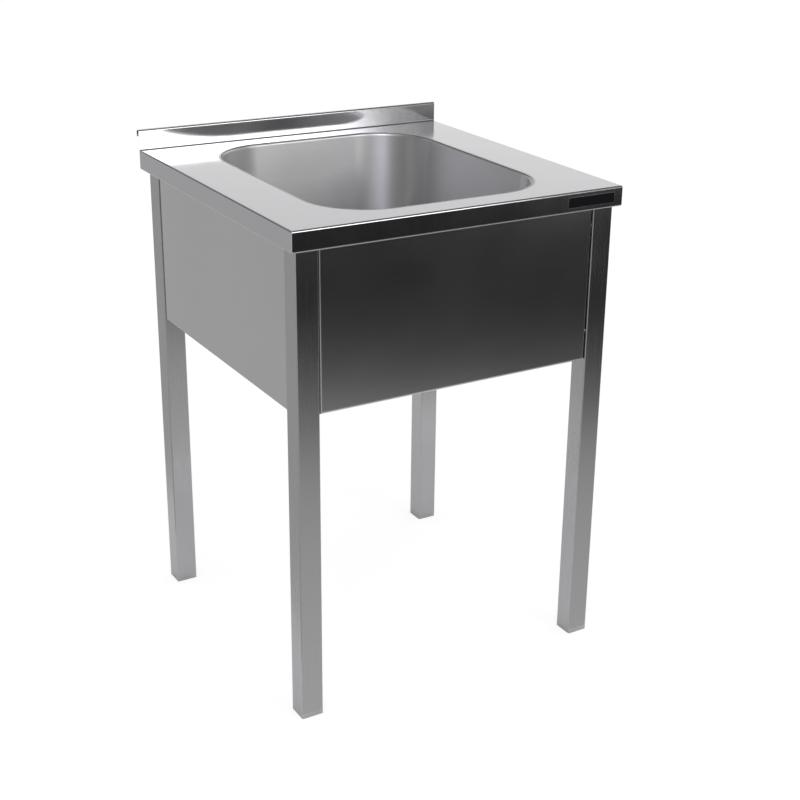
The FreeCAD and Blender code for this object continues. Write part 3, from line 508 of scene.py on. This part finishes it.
def grid_object(
    name: str, grids: np.ndarray, smooth_below: float = 35.0, merge_below: float = 1e-7
) -> bpy.types.Object:
    """Make one object of one or more grids whose columns close on themselves.

    Neighbouring rows and columns are joined by four-sided faces, and the last column is joined to
    the first. Points that meet, as at a pole, are merged.

    Args:
        name: name of the piece.
        grids: positions, as (copies, rows, columns, 3).
        smooth_below: faces that meet at less than this many degrees are shaded as one.
        merge_below: points nearer to each other than this are one.

    Returns:
        The new object, at the origin.
    """
    copies, rows, columns, _ = grids.shape
    corner = np.arange(copies * rows * columns).reshape(copies, rows, columns)
    beside = np.roll(corner, -1, axis=2)
    faces = np.stack([corner[:, :-1], beside[:, :-1], beside[:, 1:], corner[:, 1:]], axis=-1)
    mesh = bpy.data.meshes.new(name)
    mesh.from_pydata(grids.reshape(-1, 3), [], faces.reshape(-1, 4))
    shape = bmesh.new()
    shape.from_mesh(mesh)
    bmesh.ops.remove_doubles(shape, verts=shape.verts, dist=merge_below)
    bmesh.ops.recalc_face_normals(shape, faces=shape.faces)
    shape.to_mesh(mesh)
    shape.free()
    mesh.polygons.foreach_set("use_smooth", np.ones(len(mesh.polygons), dtype=bool))
    mesh.set_sharp_from_angle(angle=math.radians(smooth_below))
    return placed_object(name, mesh)


def flat_object(
    name: str, corners: tuple[Point, Point, Point, Point], material: bpy.types.Material
) -> bpy.types.Object:
    """Make a flat piece of the stage.

    Args:
        name: name of the piece.
        corners: its corners, going round.
        material: what it is made of.

    Returns:
        The new object, at the origin.
    """
    mesh = bpy.data.meshes.new(name)
    mesh.from_pydata(corners, [], [(0, 1, 2, 3)])
    mesh.materials.append(material)
    return placed_object(name, mesh)


def level_corners(low: tuple[float, float], high: tuple[float, float], z: float) -> tuple[Point, ...]:
    """Return the corners of a level rectangle from its lowest and highest x and y, anticlockwise."""
    (x0, y0), (x1, y1) = low, high
    return (x0, y0, z), (x1, y0, z), (x1, y1, z), (x0, y1, z)


def give_finish(piece: bpy.types.Object, material: bpy.types.Material, body: str) -> None:
    """Put a finish on a new piece and let it ride on a body.

    Args:
        piece: the new piece.
        material: its finish.
        body: body that the piece moves with.
    """
    piece.data.materials.append(material)
    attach(piece, body)
    LOG.info("%s: %d faces", piece.name, len(piece.data.polygons))


# ---------------------------------------------------------------------------
# Sub-assemblies
# ---------------------------------------------------------------------------


@dataclass(frozen=True)
class ScrewSize:
    """Sizes of one kind of socket screw, in metres, seat at height 0 and shank upwards."""

    shank_radius: float
    length: float
    head_radius: float
    head_height: float
    key: float  # across the flats of the socket
    key_depth: float
    crown: float = 0.45  # share of the head's height that is rounded
    crown_rows: int = 5
    mouth: float = 1.25  # width of the socket's bevelled mouth, by the key's size
    mouth_depth: float = 0.0002
    tip: float = 0.6  # share of the shank's radius that its end is bevelled by

    def grid(self, columns: int = 36) -> np.ndarray:
        """Work out the surface of one screw along +Z.

        Every row is a closed ring. Its radius is constant for round rows. For rows of the socket it
        is the hexagon's: half the key size divided by the cosine of the angle from the nearest flat.
        The rows of the head's shoulder lie on a quarter circle.

        Args:
            columns: points round the screw.

        Returns:
            Positions, as (rows, columns, 3).
        """
        crown = self.crown * self.head_height
        steps = np.linspace(0.0, math.pi / 2, self.crown_rows)
        shoulder_r = self.head_radius - crown + crown * np.sin(steps)
        shoulder_z = -self.head_height + crown - crown * np.cos(steps)
        floor_z = -self.head_height + self.key_depth
        mouth = self.mouth * self.key / 2
        mouth_z = -self.head_height + self.mouth_depth
        tip = self.tip * self.shank_radius
        rows = np.array([
            (0.0, floor_z), (np.nan, floor_z), (np.nan, mouth_z), (mouth, -self.head_height),
            *zip(shoulder_r, shoulder_z), (self.head_radius, 0.0), (self.shank_radius, 0.0),
            (self.shank_radius, self.length - tip), (self.shank_radius - tip, self.length),
            (0.0, self.length),
        ])  # radius, which isn't a number where the row is hexagonal, and height of each row
        angle = np.arange(columns) * 2 * math.pi / columns
        hexagon = self.key / 2 / np.cos(np.mod(angle, math.pi / 3) - math.pi / 6)
        radius = rows[:, :1]
        reach = np.where(np.isnan(radius), hexagon[None], radius)
        rise = np.repeat(rows[:, 1:], columns, axis=1)
        return np.stack([reach * np.cos(angle), reach * np.sin(angle), rise], axis=2)


@dataclass
class Fasteners:
    """The button screws of the skirts, the rail and the legs, with their hexagon sockets."""

    skirt_screw: ScrewSize = ScrewSize(0.0025, 0.012, 0.0048, 0.0026, 0.003, 0.0015)
    leg_screw: ScrewSize = ScrewSize(0.003, 0.010, 0.0055, 0.003, 0.004, 0.0018)
    seat: float = 0.0025  # insert's flange and skirt sheet, between a leg and a screw's head
    flange: float = 0.018  # width of the flanges of skirts and rail
    rise: float = 0.050  # lower skirt screws above the skirt's edge
    rail_rise: float = 0.016  # lower rail screws above the rail's edge
    socket_gap: float = 0.014  # upper screws below the leg sockets
    leg_screw_drop: float = 0.024  # leg screws below the tops of the legs

    def corners(self) -> list[tuple[str, int, int]]:
        """Return the name, side and end of each corner of the stand."""
        return [("front_left", -1, -1), ("front_right", 1, -1), ("rear_left", -1, 1), ("rear_right", 1, 1)]

    def placed(self, screw: np.ndarray, seats: list[tuple[Point, Point]]) -> np.ndarray:
        """Turn and move a copy of a screw to each seat.

        Args:
            screw: grid along +Z.
            seats: (point, direction of the shank) of each screw.

        Returns:
            Positions, as (copies, rows, columns, 3).
        """
        grids = []
        for point, way in seats:
            turn = Vector((0, 0, 1)).rotation_difference(Vector(way)).to_matrix()
            grids.append(screw @ np.array(turn).T + np.array(point))
        return np.stack(grids)

    def skirt_seats(self) -> list[tuple[Point, Point]]:
        """Work out where each skirt and rail screw sits: mid-flange, on the face beside its leg.

        Returns:
            Point under the head and direction of the shank of each screw.
        """
        seats = []
        skirt_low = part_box("skirt_front")[0]
        rail_low, rail_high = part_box("rear_rail")
        for name, side, end in self.corners():
            low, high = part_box("leg_" + name)
            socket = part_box("leg_socket_" + name)[0].z
            upper = socket - self.socket_gap
            lower = skirt_low.z + self.rise
            inner_x = low.x if side > 0 else high.x
            inner_y = low.y if end > 0 else high.y
            across_y = rail_high.y - self.flange / 2 if end > 0 else skirt_low.y + self.flange / 2
            first = rail_low.z + self.rail_rise if end > 0 else lower
            side_low, side_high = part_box("skirt_right" if side > 0 else "skirt_left")
            along_x = side_high.x - self.flange / 2 if side > 0 else side_low.x + self.flange / 2
            for height in (first, upper):
                seats.append(((inner_x - side * self.seat, across_y, height), (side, 0, 0)))
            for height in (lower, upper):
                seats.append(((along_x, inner_y - end * self.seat, height), (0, end, 0)))
        return seats

    def leg_seats(self) -> list[tuple[Point, Point]]:
        """Work out where each leg screw sits: on the inner face of its leg, beside the flange.

        From the leg's middle it is moved, away from the flange, by half of recess plus flange.

        Returns:
            Point under the head and direction of the shank of each screw.
        """
        seats = []
        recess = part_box("skirt_front")[0].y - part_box("leg_front_left")[0].y
        for name, side, end in self.corners():
            low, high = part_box("leg_" + name)
            inner_x = low.x if side > 0 else high.x
            middle_y = (low.y + high.y) / 2 - end * (recess + self.flange) / 2
            seats.append(((inner_x, middle_y, high.z - self.leg_screw_drop), (side, 0, 0)))
        return seats

    def build(self, finishes: dict[str, bpy.types.Material]) -> None:
        """Make both sets of screws in place of the plain ones.

        Args:
            finishes: materials by name.
        """
        sets = (
            ("skirt_screws", self.skirt_screw, self.skirt_seats()),
            ("leg_screws", self.leg_screw, self.leg_seats()),
        )
        for node, size, seats in sets:
            piece = grid_object("socket_" + node, self.placed(size.grid(), seats))
            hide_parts(node)
            give_finish(piece, finishes["fastener_steel"], "sink")


@dataclass
class WasteThread:
    """The coarse thread round the cup of the waste, below its locknut."""

    pitch: float = 0.003
    height: float = 0.0007
    turns: float = 6.5
    fade_turns: float = 0.25  # over which each end of the thread fades
    top_gap: float = 0.0015  # thread's end below the locknut
    cup_radius: float = 0.043
    foot: float = 0.00002  # how far the ridge's foot stands out of the cup
    bite: float = 0.0002  # how far the ridge reaches into the cup's wall
    points_per_turn: int = 64
    points_across: int = 9

    def build(self, finishes: dict[str, bpy.types.Material]) -> None:
        """Make the thread on the strainer's cup.

        The surface is a ridge carried along a screw line. Its height above the cup is a raised
        cosine across the ridge, which fades to nothing at both ends, and its back lies in the cup's
        wall.

        Args:
            finishes: materials by name.
        """
        low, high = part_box("drain_locknut")
        centre = np.array([(low.x + high.x) / 2, (low.y + high.y) / 2])
        along = np.linspace(0.0, self.turns, int(self.turns * self.points_per_turn))[None]
        across = np.linspace(-0.5, 0.5, self.points_across)[:, None]
        fade = np.clip(np.minimum(along, self.turns - along) / self.fade_turns, 0.0, 1.0)
        ridge = self.height * fade * (0.5 + 0.5 * np.cos(2 * math.pi * across)) + self.foot
        angle = 2 * math.pi * along + 0 * across
        round_way = np.stack([np.cos(angle), np.sin(angle)], axis=2)
        rise = (low.z - self.top_gap - self.pitch * (along + across + 0.5))[..., None]
        front = np.concatenate([centre + (self.cup_radius + ridge)[..., None] * round_way, rise], axis=2)
        back = np.concatenate([centre + (self.cup_radius - self.bite) * round_way, rise[::-1]], axis=2)
        closed = np.concatenate([front, back]).transpose(1, 0, 2)
        start = np.repeat(closed[:1].mean(axis=1, keepdims=True), closed.shape[1], axis=1)
        end = np.repeat(closed[-1:].mean(axis=1, keepdims=True), closed.shape[1], axis=1)
        piece = grid_object("waste_thread", np.concatenate([start, closed, end])[None])
        give_finish(piece, finishes["waste_steel"], "sink")


@dataclass
class PackedPieces:
    """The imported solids, which only change their finish."""

    nodes: dict[str, bpy.types.Object]

    def dress(self, finishes: dict[str, bpy.types.Material]) -> None:
        """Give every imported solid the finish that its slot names.

        Args:
            finishes: materials by name.
        """
        for name, node in sorted(self.nodes.items()):
            for slot in node.material_slots:
                slot.material = finishes[slot.material.name.split(".")[0]]
            LOG.info("%s: finish %s", name, node.material_slots[0].material.name)


# ---------------------------------------------------------------------------
# Studio
# ---------------------------------------------------------------------------


@dataclass(frozen=True)
class SoftBox:
    """A rectangular lamp with a soft front."""

    name: str
    place: Point
    aim: Point
    width: float
    height: float
    brightness: float  # of its front, 1 is white
    tint: Colour = (1.0, 1.0, 1.0)

    def build(self) -> None:
        """Hang the lamp and aim it.

        Its power is brightness times area times pi, the power of a flat front that shines evenly.
        """
        lamp = bpy.data.lights.new(self.name, "AREA")
        lamp.shape = "RECTANGLE"
        lamp.size = self.width
        lamp.size_y = self.height
        lamp.color = self.tint
        lamp.energy = self.brightness * self.width * self.height * math.pi
        turn = (Vector(self.aim) - Vector(self.place)).to_track_quat("-Z", "Y")
        holder = placed_object(self.name, lamp)
        holder.matrix_world = Matrix.Translation(self.place) @ turn.to_matrix().to_4x4()


@dataclass(frozen=True)
class FloorCard:
    """A card on the floor in front of the sink that only metal sees, as in a studio.

    It is bright beside the sink and falls off to black away from it.
    """

    name: str = "floor_card"
    low: tuple[float, float] = (-2.6, -12.0)
    high: tuple[float, float] = (12.0, -0.295)
    height: float = 0.004
    slant: float = 0.4  # how far the fall-off swings round with the distance to the right
    reach: float = 4.0  # distance at which the last grey of the fall-off is met
    fall: Stops = (
        (0.0, 0.70), (0.20, 0.56), (0.29, 0.48), (0.38, 0.25), (0.46, 0.08), (0.6, 0.02), (1.0, 0.02),
    )

    def build(self) -> None:
        """Lay the card. Its brightness falls with the distance to the front plus slant times x."""
        material, sheet = new_material(self.name)
        x, y, _ = sheet.add("SeparateXYZ", {0: sheet.add("TexCoord").outputs["Object"]}).outputs
        away = sheet.math("SUBTRACT", sheet.math("MULTIPLY", x, self.slant), y)
        sheet.finish(sheet.emission(sheet.stepped(sheet.math("DIVIDE", away, self.reach), self.fall)))
        only_metal_sees(flat_object(self.name, level_corners(self.low, self.high, self.height), material))


@dataclass(frozen=True)
class GreyCard:
    """A flat grey card that only metal sees."""

    name: str
    corners: tuple[Point, Point, Point, Point]
    grey: float

    def build(self) -> None:
        """Put the card up."""
        material, sheet = new_material(self.name)
        sheet.finish(sheet.emission(self.grey))
        only_metal_sees(flat_object(self.name, self.corners, material))


def only_metal_sees(card: bpy.types.Object) -> None:
    """Hide a card from the camera and from all light but reflections.

    Args:
        card: the card, which belongs to the stage.
    """
    card.visible_camera = False
    card.visible_diffuse = False
    card.visible_transmission = False
    card.visible_shadow = False


@dataclass
class Studio:
    """Pale floor, white surroundings, two large soft lamps and the cards that metal reflects."""

    floor_reach: float = 30.0
    floor_grey: float = 0.86
    floor_glow: float = 0.7  # share of the floor that stays white whatever falls on it
    floor_white: float = 1.13
    room_light: float = 0.85
    room_tilt: float = 0.12  # the ceiling comes lower behind the sink than in front of it
    room_heights: Stops = (
        (0.296, 1.0), (0.366, 0.86), (0.43, 0.8), (0.48, 0.46), (0.60, 0.46), (0.75, 0.56), (1.0, 0.62),
    )
    left_shade: float = 0.3  # share of the room's light that is left at the far left
    left_ends: tuple[float, float] = (-0.8, -0.2)
    left_lean: float = -0.6  # the left darkens further round towards the back
    screen_side: tuple[float, float] = (0.18, 0.42)  # a dark screen hangs from here on, to the right
    screen_height: tuple[float, float] = (0.44, 0.56)
    screen_shade: float = 0.7  # how much of the room's light the screen takes
    key: SoftBox = SoftBox("key_lamp", (1.00, -2.45, 1.70), (0.0, 0.0, 0.75), 1.1, 0.85, 4.0)
    fill: SoftBox = SoftBox(
        "fill_lamp", (-1.45, -2.70, 2.10), (0.2, 0.2, 0.70), 1.7, 1.1, 4.9, (0.84, 0.84, 1.0)
    )
    floor_card: FloorCard = FloorCard()
    cards: tuple[GreyCard, ...] = (
        GreyCard("far_card", level_corners((2.3, -9.0), (9.0, -3.3), 0.012), 0.42),
        GreyCard("left_card", level_corners((-5.0, -0.9), (-0.45, 6.0), 0.01), 0.50),
        GreyCard(
            "right_card", ((1.58, -2.3, 0.9), (2.9, -1.8, 0.9), (2.9, -1.8, 2.3), (1.58, -2.3, 2.3)), 0.36
        ),
    )

    def build_floor(self) -> None:
        """Lay the floor: its shadow shows on a share of it, and the rest stays white to the camera."""
        material, sheet = new_material("floor")
        grey = (self.floor_grey, self.floor_grey, self.floor_grey, 1.0)
        plain = sheet.add("BsdfDiffuse", {"Color": grey}).outputs[0]
        glowing = sheet.emission(self.floor_white)
        seen = sheet.add("MixShader", {0: self.floor_glow, 1: plain, 2: glowing}).outputs[0]
        is_camera = sheet.add("LightPath").outputs["Is Camera Ray"]
        sheet.finish(sheet.add("MixShader", {0: is_camera, 1: plain, 2: seen}).outputs[0])
        reach = self.floor_reach
        floor = flat_object("floor", level_corners((-reach, -reach), (reach, reach), 0), material)

    def room(self, sheet: ShaderSheet) -> Socket:
        """Return the brightness of the room that metal sees, by the direction looked in.

        It follows the room's heights by how far up the direction points, darkens towards the left,
        and darkens once more behind the screen that hangs at the upper right.

        Args:
            sheet: nodes of the world.

        Returns:
            Socket of the brightness.
        """
        x, y, z = sheet.add("SeparateXYZ", {0: sheet.add("TexCoord").outputs["Generated"]}).outputs
        raised = sheet.math("MULTIPLY_ADD", y, self.room_tilt, z)
        from_left = sheet.math("MULTIPLY_ADD", y, self.left_lean, x)
        sideways = sheet.rise(from_left, *self.left_ends, self.left_shade, 1.0)
        open_room = sheet.math("MULTIPLY", sheet.stepped(raised, self.room_heights), sideways)
        beside = sheet.rise(x, *self.screen_side)
        above = sheet.rise(z, *self.screen_height)
        taken = sheet.math("MULTIPLY", sheet.math("MULTIPLY", beside, above), self.screen_shade)
        return sheet.math("MULTIPLY", open_room, sheet.math("SUBTRACT", 1.0, taken))

    def build_world(self) -> None:
        """Surround the scene: white for the camera, a room for metal, soft light for the rest."""
        world = bpy.data.worlds.new("surroundings")
        bpy.context.scene.world = world
        sheet = ShaderSheet(world)
        paths = sheet.add("LightPath").outputs
        is_mirrored = sheet.math("MAXIMUM", paths["Is Glossy Ray"], paths["Is Transmission Ray"])
        soft, mirrored, white = (
            sheet.add("Background", {"Color": WHITE, "Strength": strength}).outputs[0]
            for strength in (self.room_light, self.room(sheet), 1.0)
        )
        unseen = sheet.add("MixShader", {0: is_mirrored, 1: soft, 2: mirrored}).outputs[0]
        mixed = sheet.add("MixShader", {0: paths["Is Camera Ray"], 1: unseen, 2: white}).outputs[0]
        sheet.finish(mixed, "OutputWorld")

    def build(self) -> None:
        """Build floor, surroundings, lamps and cards."""
        self.build_floor()
        self.build_world()
        for piece in (self.key, self.fill, self.floor_card, *self.cards):
            piece.build()


@dataclass
class PictureCamera:
    """The camera, at the place and angle from which the sink was photographed."""

    place: Point = (-1.19327, -2.12572, 1.39711)
    aim: Point = (0.10374, -0.0653, 0.43199)
    roll: float = 1.252  # degrees that the right side of the view is raised
    lens: float = 66.059
    sensor: float = 36.0
    shift: tuple[float, float] = (-0.05, -0.015)
    far_end: float = 100.0

    def build(self) -> None:
        """Set up the camera and make it the scene's.

        It looks from its place at the aim. Right is the level way across that line, raised by the
        roll, and up is square to both.
        """
        camera = bpy.data.cameras.new("camera")
        camera.lens = self.lens
        camera.sensor_width = self.sensor
        camera.shift_x, camera.shift_y = self.shift
        camera.clip_end = self.far_end
        holder = placed_object("camera", camera)
        back = (Vector(self.place) - Vector(self.aim)).normalized()
        level = Vector((0, 0, 1)).cross(back).normalized()
        raised = back.cross(level)
        turn = math.radians(self.roll)
        right = level * math.cos(turn) + raised * math.sin(turn)
        up = back.cross(right)
        axes = Matrix((right, up, back)).transposed().to_4x4()
        holder.matrix_world = Matrix.Translation(self.place) @ axes
        bpy.context.scene.camera = holder


@dataclass
class LaundrySink:
    """The whole sink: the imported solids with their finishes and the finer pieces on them."""

    frame: dict
    fasteners: Fasteners = field(default_factory=Fasteners)
    thread: WasteThread = field(default_factory=WasteThread)

    def build(self) -> None:
        """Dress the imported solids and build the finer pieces."""
        finishes = {name: finish.build() for name, finish in FINISHES.items()}
        PackedPieces(self.frame["nodes"]).dress(finishes)
        self.fasteners.build(finishes)
        self.thread.build(finishes)


def main() -> None:
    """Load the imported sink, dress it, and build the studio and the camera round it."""
    logging.basicConfig(level=logging.INFO, format="%(name)s: %(message)s")
    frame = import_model()
    LaundrySink(frame).build()
    Studio().build()
    PictureCamera().build()
    bpy.context.scene.view_settings.view_transform = "Standard"


if __name__ == "__main__":
    main()
